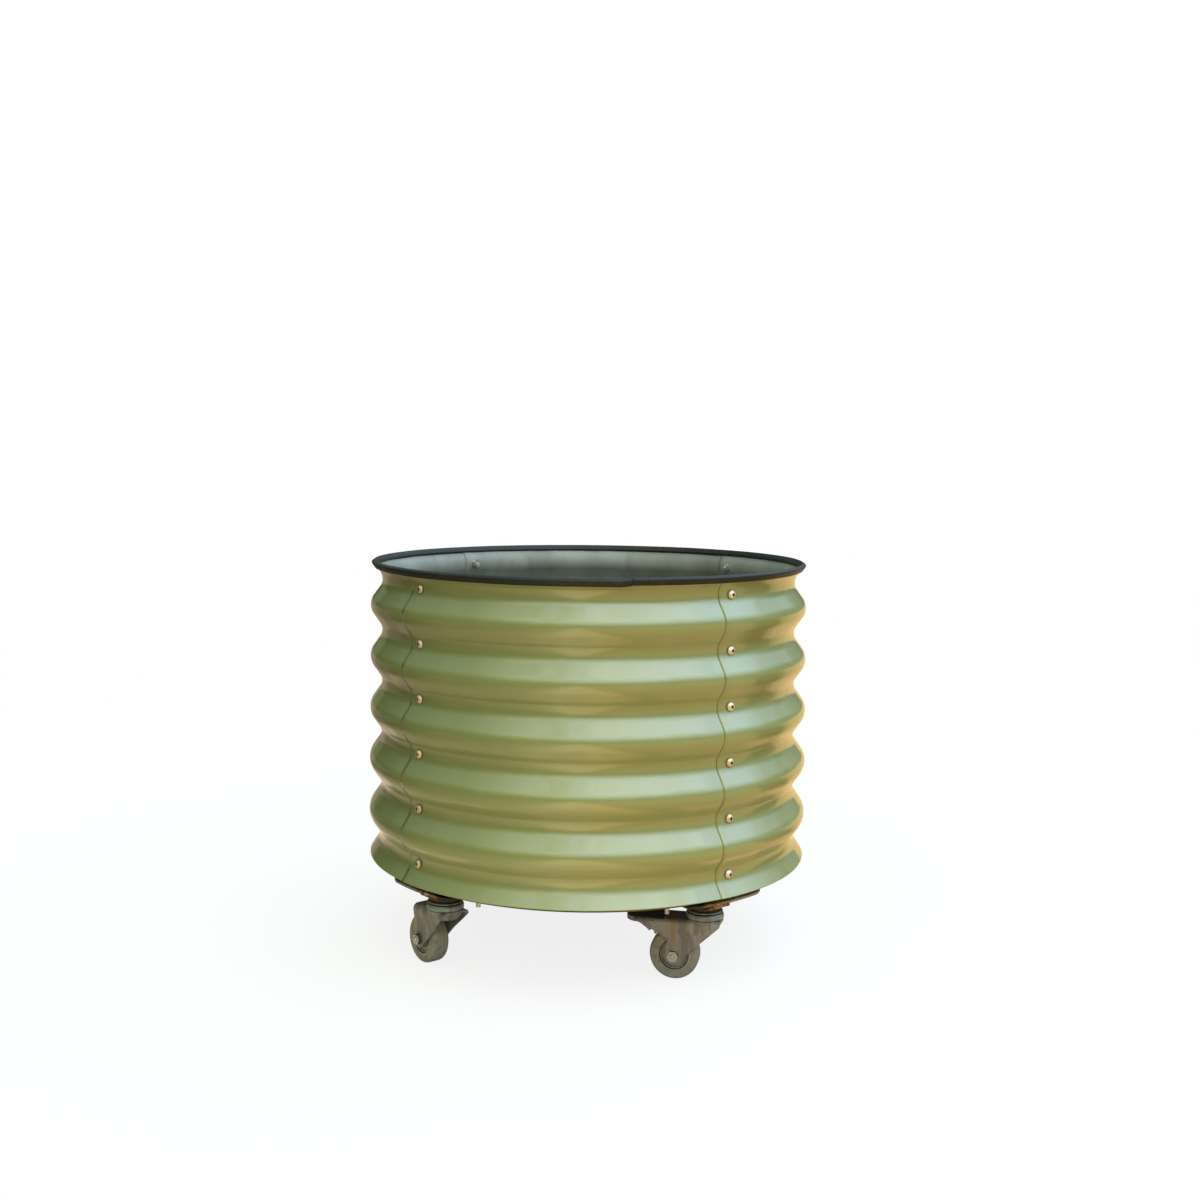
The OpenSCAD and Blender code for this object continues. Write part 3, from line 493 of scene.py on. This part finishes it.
WALL_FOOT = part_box("panel_front")[0][2]
WALL_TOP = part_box("panel_front")[1][2]
MID_R = BODY_D / 2 - SHEET / 2 - WAVE_DEPTH / 2
CREST_AXIS = MID_R + WAVE_DEPTH / 2 - WAVE_BEND
VALLEY_AXIS = MID_R - WAVE_DEPTH / 2 + WAVE_BEND
FLANK = (math.asin(2 * WAVE_BEND / math.hypot(VALLEY_AXIS - CREST_AXIS, WAVE_PITCH / 2))
         - math.atan2(VALLEY_AXIS - CREST_AXIS, WAVE_PITCH / 2))
JOINTS = [math.pi / 2 - FRONT_HALF, math.pi / 2 + FRONT_HALF,
          3 * math.pi / 2 - FRONT_HALF, 3 * math.pi / 2 + FRONT_HALF]
OVER = LAP_OVER / MID_R
UNDER = LAP_UNDER / MID_R
PANELS = {
    "panel_front": (3 * math.pi / 2, FRONT_HALF), "panel_right": (0, math.pi / 2 - FRONT_HALF),
    "panel_rear": (math.pi / 2, FRONT_HALF), "panel_left": (math.pi, math.pi / 2 - FRONT_HALF),
}

# The edge trim, and how far its ends step apart at the split and how far it wanders
TRIM_REACH = 0.0065
TRIM_WALL = 0.0022
TRIM_ROOM = 0.0007                  # beside the sheet, for the lapped sheets at the joints
TRIM_HALF = SHEET / 2 + TRIM_ROOM + TRIM_WALL
TRIM_ROUND = 0.0019
TRIM_SPLIT = math.radians(285)
TRIM_GAP = math.radians(0.16)
TRIM_STEP = 0.0004
TRIM_WANDER = 0.0005
TRIM_STEPS = 240

# Steps round a turned piece and the distance under which its points are one
TYRE_STEPS = 112
TURNED_STEPS = 80
TURNED_MERGE = 0.00001

# How a softened piece is cleaned, and where it is rounded
SOFT_MERGE = 0.000002
FLAT_UNDER = math.radians(0.6)
LOOKS_UP = 0.8                      # the least upward part of a top face's normal
EDGE_OVER = 32                      # degrees
EDGE_STEPS = 2

# Painted shade in a wall bolt's socket, rust round its foot: the socket's radius, and depths
# from the head's top
SOCKET_R = 0.0028
SOCKET_RIM = 0.0012
FOOT_CLEAN = 0.0020
FOOT_DIRTY = 0.0036
HEAD_BURIED = 0.006

# Painted shade on an axle's bolt and nut: distances from the wheel's middle, and the radius of
# the foot
AXLE_IN_FORK = 0.0166
AXLE_FOOT = 0.0181
AXLE_FOOT_R = 0.0075
AXLE_HALF_SHADED = 0.0185


def ease(value, low, high):
    """0 at low and 1 at high, smooth between. With low above high it falls instead."""
    t = min(max((value - low) / (high - low), 0), 1)
    return t * t * (3 - 2 * t)


def round_the_wall(angle, scale, seed):
    """Noise from -1 to 1 that closes on itself round the wall."""
    return noise.noise(Vector((math.cos(angle), math.sin(angle), 0)) * scale + Vector((0, 0, seed)))


def edge_sag(angle):
    """How far the sheet's top edge lies too low. It sags to the left of the trim's split."""
    left = (TRIM_SPLIT - angle) % (2 * math.pi)
    wander = EDGE_WANDER * (1 + round_the_wall(angle, 3.5, 4))
    return wander + EDGE_SAG * ease(left, 1.6, 0.15) * ease(left, 0.0, 0.05)


def off_joint(joint, angle):
    """The turn from a joint to an angle, from minus to plus half a turn."""
    return (angle - joint + math.pi) % (2 * math.pi) - math.pi


def dent(spot):
    """How far the sheet lies inside its true radius. It is true at the joints, edges and pan."""
    angle = math.atan2(spot.y, spot.x)
    aside = min(abs(off_joint(joint, angle)) for joint in JOINTS) * MID_R
    free = ease(aside, 0.030, 0.085) * ease(spot.z, WALL_FOOT + 0.018, WALL_FOOT + 0.045)
    free *= ease(spot.z, WALL_TOP - 0.012, WALL_TOP - 0.035)
    wide = noise.noise(Vector((spot.x * 7, spot.y * 7, spot.z * 13)))
    near = noise.noise(Vector((spot.x * 24, spot.y * 24, spot.z * 30 + 7)))
    upright = noise.noise(Vector((spot.x * 30 + 3, spot.y * 30, spot.z * 5)))
    return free * (DENT * (0.9 + wide) + RIPPLE * (1 + near) + STREAK * (1 + upright))


def wave_points():
    """(radius, height) up the sheet's middle: arcs at crests and valleys, flanks between."""
    points = []
    for n in range(2 * WAVE_ROWS):
        height = WALL_FOOT + FOOT_LIP + (n - 1) * WAVE_PITCH / 2
        start = -FLANK
        if height - WAVE_BEND * math.sin(FLANK) < WALL_FOOT:
            start = math.asin((WALL_FOOT - height) / WAVE_BEND)
        steps = math.ceil((FLANK - start) / BEND_STEP)
        for step in range(steps + 1):
            turn = start + (FLANK - start) * step / steps
            reach = WAVE_BEND * math.cos(turn)
            radius = VALLEY_AXIS - reach if n % 2 else CREST_AXIS + reach
            points.append((radius, height + WAVE_BEND * math.sin(turn)))
    radius, height = points[-1]
    for share in (0.25, 0.5, 0.75, 1.0):
        rise = (WALL_TOP - height) * share
        points.append((radius + rise * math.tan(FLANK), height + rise))
    return points


def wall_panel(name, mid, half):
    bm = bmesh.new()
    line = [bm.verts.new((radius, 0, height)) for radius, height in wave_points()]
    edges = [bm.edges.new(pair) for pair in zip(line, line[1:])]
    sweep = 2 * half + OVER + UNDER
    bmesh.ops.spin(bm, geom=line + edges, axis=(0, 0, 1), cent=(0, 0, 0), angle=sweep,
                   steps=round(math.degrees(sweep) / SWEEP_STEP))
    shift = (SHEET + LAP_GAP) / math.cos(FLANK) / 2 / math.sin(half)
    place = (Matrix.Rotation(mid, 4, "Z") @ Matrix.Translation((0, -shift, 0))
             @ Matrix.Rotation(-half - OVER, 4, "Z"))
    bmesh.ops.transform(bm, matrix=place, verts=bm.verts)
    left_edge = max(math.atan2(-vert.co.x, -vert.co.y) for vert in bm.verts)
    for vert in bm.verts:
        spot = vert.co.copy()
        inwards = Vector((spot.x, spot.y, 0)).normalized()
        vert.co -= inwards * dent(spot)
        if name == "panel_front":
            pressed = ease(math.atan2(-spot.x, -spot.y), left_edge - LAP_PRESSED_TURN, left_edge)
            vert.co -= inwards * LAP_PRESSED * pressed
        at_top = ease(spot.z, WALL_TOP - 0.016, WALL_TOP - 0.002)
        vert.co.z -= edge_sag(math.atan2(spot.y, spot.x)) * at_top
    bmesh.ops.recalc_face_normals(bm, faces=bm.faces)
    face = max(bm.faces, key=lambda face: face.calc_area())
    centre = face.calc_center_median()
    if face.normal.dot(Vector((centre.x, centre.y, 0))) < 0:
        bmesh.ops.reverse_faces(bm, faces=bm.faces)
    piece = add_piece("wall_" + name, bm, 60, "planter", "paint",
                      (finishes["paint"], finishes["back"]))
    thick = piece.modifiers.new("sheet", "SOLIDIFY")
    thick.thickness = SHEET
    thick.offset = 0
    thick.material_offset = 1
    thick.material_offset_rim = 0
    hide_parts(name)


def edge_trim():
    """Rubber strip over the top edge. It leans out with the sheet and wanders with its edge."""
    outline = []
    foot, top = -TRIM_REACH, TRIM_HALF
    for x, y, first in ((1, 1, 0), (-1, 1, 90), (-1, -1, 180), (1, -1, 270)):
        across = x * (TRIM_HALF - TRIM_ROUND)
        along = (top - TRIM_ROUND) if y > 0 else (foot + TRIM_ROUND)
        for step in range(5):
            turn = math.radians(first + 22.5 * step)
            outline.append((across + TRIM_ROUND * math.cos(turn),
                            along + TRIM_ROUND * math.sin(turn)))
    edge_r = wave_points()[-1][0]
    lean = Matrix.Rotation(FLANK, 4, "Y")
    bm = bmesh.new()
    ring = [bm.verts.new(Vector((edge_r, 0, WALL_TOP)) + lean @ Vector((across, 0, along)))
            for across, along in outline]
    start = bm.faces.new(ring)
    bmesh.ops.spin(bm, geom=[start], axis=(0, 0, 1), cent=(0, 0, 0),
                   angle=2 * math.pi - TRIM_GAP, steps=TRIM_STEPS)
    bmesh.ops.transform(bm, matrix=Matrix.Rotation(TRIM_SPLIT + TRIM_GAP / 2, 4, "Z"),
                        verts=bm.verts)
    for vert in bm.verts:
        angle = math.atan2(vert.co.y, vert.co.x)
        left = (TRIM_SPLIT - angle) % (2 * math.pi)
        right = (angle - TRIM_SPLIT) % (2 * math.pi)
        outwards = Vector((vert.co.x, vert.co.y, 0)).normalized()
        drop = (edge_sag(angle) + TRIM_STEP * ease(left, 0.12, 0.0)
                - TRIM_STEP * ease(right, 0.25, 0.0))
        vert.co.z -= max(0, drop)
        vert.co -= outwards * TRIM_WANDER * (1 + round_the_wall(angle, 9, 2))
    bmesh.ops.recalc_face_normals(bm, faces=bm.faces)
    piece = add_piece("edge_trim", bm, 50, "planter", "trim", (finishes["trim"],))
    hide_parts("rim_trim")


def middle(node):
    low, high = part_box(node)
    return (Vector(low) + Vector(high)) / 2


def turned(node, rings, place, steps):
    """A piece turned round an axis from a closed outline of (radius, height, painted shade), in mm.
    """
    bm = bmesh.new()
    shade_and_grit_marks = bm.verts.layers.float.new("grime")
    line = []
    for radius, height, grime in rings:
        vert = bm.verts.new((radius / 1000, 0, height / 1000))
        vert[shade_and_grit_marks] = grime
        line.append(vert)
    edges = [bm.edges.new(pair) for pair in zip(line, line[1:] + line[:1])]
    bmesh.ops.spin(bm, geom=line + edges, axis=(0, 0, 1), cent=(0, 0, 0), angle=2 * math.pi,
                   steps=steps, use_merge=True)
    bmesh.ops.remove_doubles(bm, verts=bm.verts, dist=TURNED_MERGE)
    bmesh.ops.transform(bm, matrix=place, verts=bm.verts)
    bmesh.ops.recalc_face_normals(bm, faces=bm.faces)
    piece = add_piece("turned_" + node, bm, 40, bodies[node], slots[node], (finish_of(node),))
    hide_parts(node)


def both_sides(half):
    """An outline on one side of the wheel's middle, and its mirror image."""
    return half + [(radius, -height, grime) for radius, height, grime in reversed(half)]


# Outlines of turned pieces: radius and height in mm, then painted shade from 0 to 1, dark in
# grooves, bores, creases and faces hidden between parts.
HUB = both_sides([
    (6.06, 13.7, 0.6), (9.2, 13.7, 0.3), (10.3, 13.2, 0.1), (11.0, 12.0, 0.2), (11.2, 9.4, 0.8),
    (11.9, 8.9, 0.5), (13.2, 8.8, 0.10), (14.6, 8.8, 0.1), (15.2, 8.6, 0.2), (15.6, 8.2, 0.35),
    (16.5, 8.2, 0.35), (17.0, 9.0, 0.2), (17.3, 10.2, 0.05), (17.7, 10.5, 0.0),
    (18.1, 10.4, 0.35), (18.4, 9.9, 1.0), (18.5, 9.4, 1.0),
])
TYRE = both_sides([
    (18.52, 9.6, 1.0), (18.75, 10.6, 1.0), (19.05, 11.5, 0.7), (19.6, 12.0, 0.0),
    (21.4, 12.0, 0.0), (22.4, 11.85, 0.30), (23.2, 12.0, 0.0), (25.0, 12.0, 0.22),
    (26.0, 11.9, 0.0), (27.8, 11.85, 0.1), (29.4, 11.3, 0.0), (30.7, 10.2, 0.25),
    (31.5, 8.8, 0.0), (31.9, 7.2, 0.15), (32.0, 5.0, 0.0), (32.0, 2.6, 0.2), (31.95, 0.8, 0.0),
])
UPPER_RACE = [
    (5.02, 97.0, 1.0), (20.9, 97.0, 0.9), (21.2, 96.7, 0.1), (21.2, 95.8, 0.0),
    (20.9, 95.3, 0.5), (20.3, 94.8, 1.0), (20.2, 92.6, 1.0), (21.4, 91.4, 0.9),
    (22.6, 90.7, 0.3), (23.0, 90.2, 0.0), (23.0, 89.6, 0.3), (22.7, 89.1, 1.0),
    (20.2, 89.1, 1.0), (20.2, 92.3, 1.0), (19.2, 92.3, 1.0), (17.0, 92.9, 1.0),
    (14.8, 92.3, 1.0), (5.02, 92.3, 1.0),
]
LOWER_RACE = [
    (5.06, 80.0, 1.0), (23.3, 80.0, 1.0), (23.8, 80.5, 0.9), (24.3, 81.4, 0.2),
    (24.5, 82.6, 0.0), (24.5, 84.6, 0.0), (24.3, 85.9, 0.0), (23.8, 87.0, 0.0),
    (23.1, 87.8, 0.3), (22.2, 88.3, 1.0), (19.2, 88.3, 1.0), (17.0, 87.7, 1.0),
    (14.8, 88.3, 1.0), (5.06, 88.3, 1.0),
]


def wheel_axis(corner):
    """The way a wheel's axle points."""
    return next(Vector(joint["axis"]) for joint in frame["record"]["behaviour"]["joints"]
                if joint["child"] == bodies["tyre_" + corner])


def wheel_and_races(corner):
    turn = wheel_axis(corner).to_track_quat("Z", "Y").to_matrix().to_4x4()
    axle = Matrix.Translation(middle("tyre_" + corner)) @ turn
    turned("tyre_" + corner, TYRE, axle, TYRE_STEPS)
    turned("hub_" + corner, HUB, axle, TURNED_STEPS)
    swivel = middle("upper_race_" + corner)
    swivel = Matrix.Translation((swivel.x, swivel.y, 0))
    turned("upper_race_" + corner, UPPER_RACE, swivel, TURNED_STEPS)
    turned("lower_race_" + corner, LOWER_RACE, swivel, TURNED_STEPS)


def finish_of(node):
    own = {"joint_bolts": "bolts", "upper_race": "race", "lower_race": "race"}
    return next((finishes[finish] for start, finish in own.items() if node.startswith(start)),
                finishes[slots[node]])


def softened(node, edge=0.0004, grime=None, top=None):
    """A copy of a CAD piece with its edges rounded. Its third argument gives the painted shade
    and dirt at a vertex's place, and top is a finish for the faces that look up, such as painted
    shade."""
    bm = bmesh.new()
    bm.from_mesh(frame["nodes"][node].data)
    bmesh.ops.remove_doubles(bm, verts=bm.verts, dist=SOFT_MERGE)
    bmesh.ops.dissolve_limit(bm, angle_limit=FLAT_UNDER, verts=bm.verts, edges=bm.edges,
                             delimit={"NORMAL"})
    bmesh.ops.recalc_face_normals(bm, faces=bm.faces)
    if grime:
        shade_and_grit_marks = bm.verts.layers.float.new("grime")
        for vert in bm.verts:
            vert[shade_and_grit_marks] = grime(vert.co)
    if top:
        for face in bm.faces:
            face.material_index = int(face.normal.z > LOOKS_UP)
    piece = add_piece("soft_" + node, bm, EDGE_OVER, bodies[node], slots[node],
                      (finish_of(node), top) if top else (finish_of(node),))
    bevel = piece.modifiers.new("edges", "BEVEL")
    bevel.width = edge
    bevel.segments = EDGE_STEPS
    bevel.limit_method = "ANGLE"
    bevel.angle_limit = math.radians(EDGE_OVER)
    bevel.harden_normals = True
    bevel.use_clamp_overlap = True
    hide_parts(node)


def button_shade_and_grit(spot):
    """A wall bolt is rusty round its foot, and its socket is darkened with painted shade."""
    reach = math.hypot(spot.x, spot.y)
    angle = math.atan2(spot.y, spot.x)
    turn = min((off_joint(joint, angle) for joint in JOINTS), key=abs)
    row = round((spot.z - WALL_FOOT - FOOT_LIP) / WAVE_PITCH)
    out = math.hypot(reach * math.sin(turn), spot.z - WALL_FOOT - FOOT_LIP - row * WAVE_PITCH)
    if out < SOCKET_R:
        return float(BUTTON_TOP - HEAD_BURIED < reach < BUTTON_TOP - SOCKET_RIM)
    foot = ease(reach, BUTTON_TOP - FOOT_CLEAN, BUTTON_TOP - FOOT_DIRTY)
    return foot * (reach > BUTTON_TOP - HEAD_BURIED)


# Painted shade on an axle's bolt and nut: full between the fork's legs and round the foot, part
# just beyond.
def axle_shade_and_grit(centre, spin):
    def at(spot):
        away = spot - centre
        along = abs(away.dot(spin))
        out = (away - spin * away.dot(spin)).length
        if along < AXLE_IN_FORK or (along < AXLE_FOOT and out < AXLE_FOOT_R):
            return 1.0
        return 0.35 if along < AXLE_HALF_SHADED else 0.0
    return at


slots = {entry["node"]: entry["material_slot"] for entry in frame["record"]["subparts"]}
bodies = {node: body for body, nodes in frame["record"]["behaviour"]["bodies"].items()
          for node in nodes}
BUTTON_TOP = max(math.hypot(*vert.co[:2]) for vert in frame["nodes"]["joint_bolts"].data.vertices)

finishes = {
    "paint": sage_paint(), "back": grey_back(), "trim": black_rubber(), "rust": rusty_steel(),
    "pan": dark_pan(), "pedal": dark_pad(),
    "bolts": stained("yellow_zinc", (0.74, 0.60, 0.46), (0.40, 0.27, 0.18), (0.88, 0.78, 0.68),
                     (0.30, 0.15, 0.08), 0.85, 0.30, 0.0001, (0.10, 0.045, 0.02)),
    "zinc": stained("pale_zinc", (0.50, 0.52, 0.54), (0.34, 0.32, 0.30), (0.66, 0.67, 0.68),
                    (0.26, 0.15, 0.08), 0.9, 0.24, 0.0001),
    "galvanised": stained("dull_steel", (0.228, 0.222, 0.244), (0.170, 0.150, 0.152),
                          (0.315, 0.312, 0.335), (0.20, 0.105, 0.070), 0.40, 0.40,
                          extra=lever_run),
    "race": stained("race_steel", (0.200, 0.255, 0.270), (0.16, 0.185, 0.195),
                    (0.28, 0.35, 0.365), (0.14, 0.085, 0.05), 0.40, 0.30),
    "hub": grey_wheel("grey_hub", (0.27, 0.245, 0.220), (0.385, 0.33, 0.285), 0.42),
    "tyre": grey_wheel("grey_tyre", (0.236, 0.223, 0.190), (0.323, 0.295, 0.25), 0.55),
}
for name, piece in frame["nodes"].items():
    piece.data.materials.clear()
    piece.data.materials.append(finish_of(name))

for name, (mid, half) in PANELS.items():
    wall_panel(name, mid, half)
edge_trim()
for corner in ("fr", "fl", "rr", "rl"):
    wheel_and_races(corner)
    shade_and_grit_marks = axle_shade_and_grit(middle("tyre_" + corner), wheel_axis(corner))
    for name in ("axle_bolt_", "axle_nut_"):
        softened(name + corner, 0.0003, shade_and_grit_marks)
softened("joint_bolts", 0.0002, button_shade_and_grit)
for name in slots:
    if name.startswith(("fork", "brake_pad", "bracket")):
        softened(name)
    elif name.startswith("brake_lever"):
        # The lever's upward faces get the near-black painted shade.
        softened(name, top=finishes["pedal"])

make_floor()
make_sky()
make_light("key", place=(1.5, -1.6, 3.0), aim=(0, 0, 0.3), size=3.0, watts=12,
           colour=(1.0, 0.98, 0.94))
bpy.context.scene.view_settings.view_transform = "Standard"
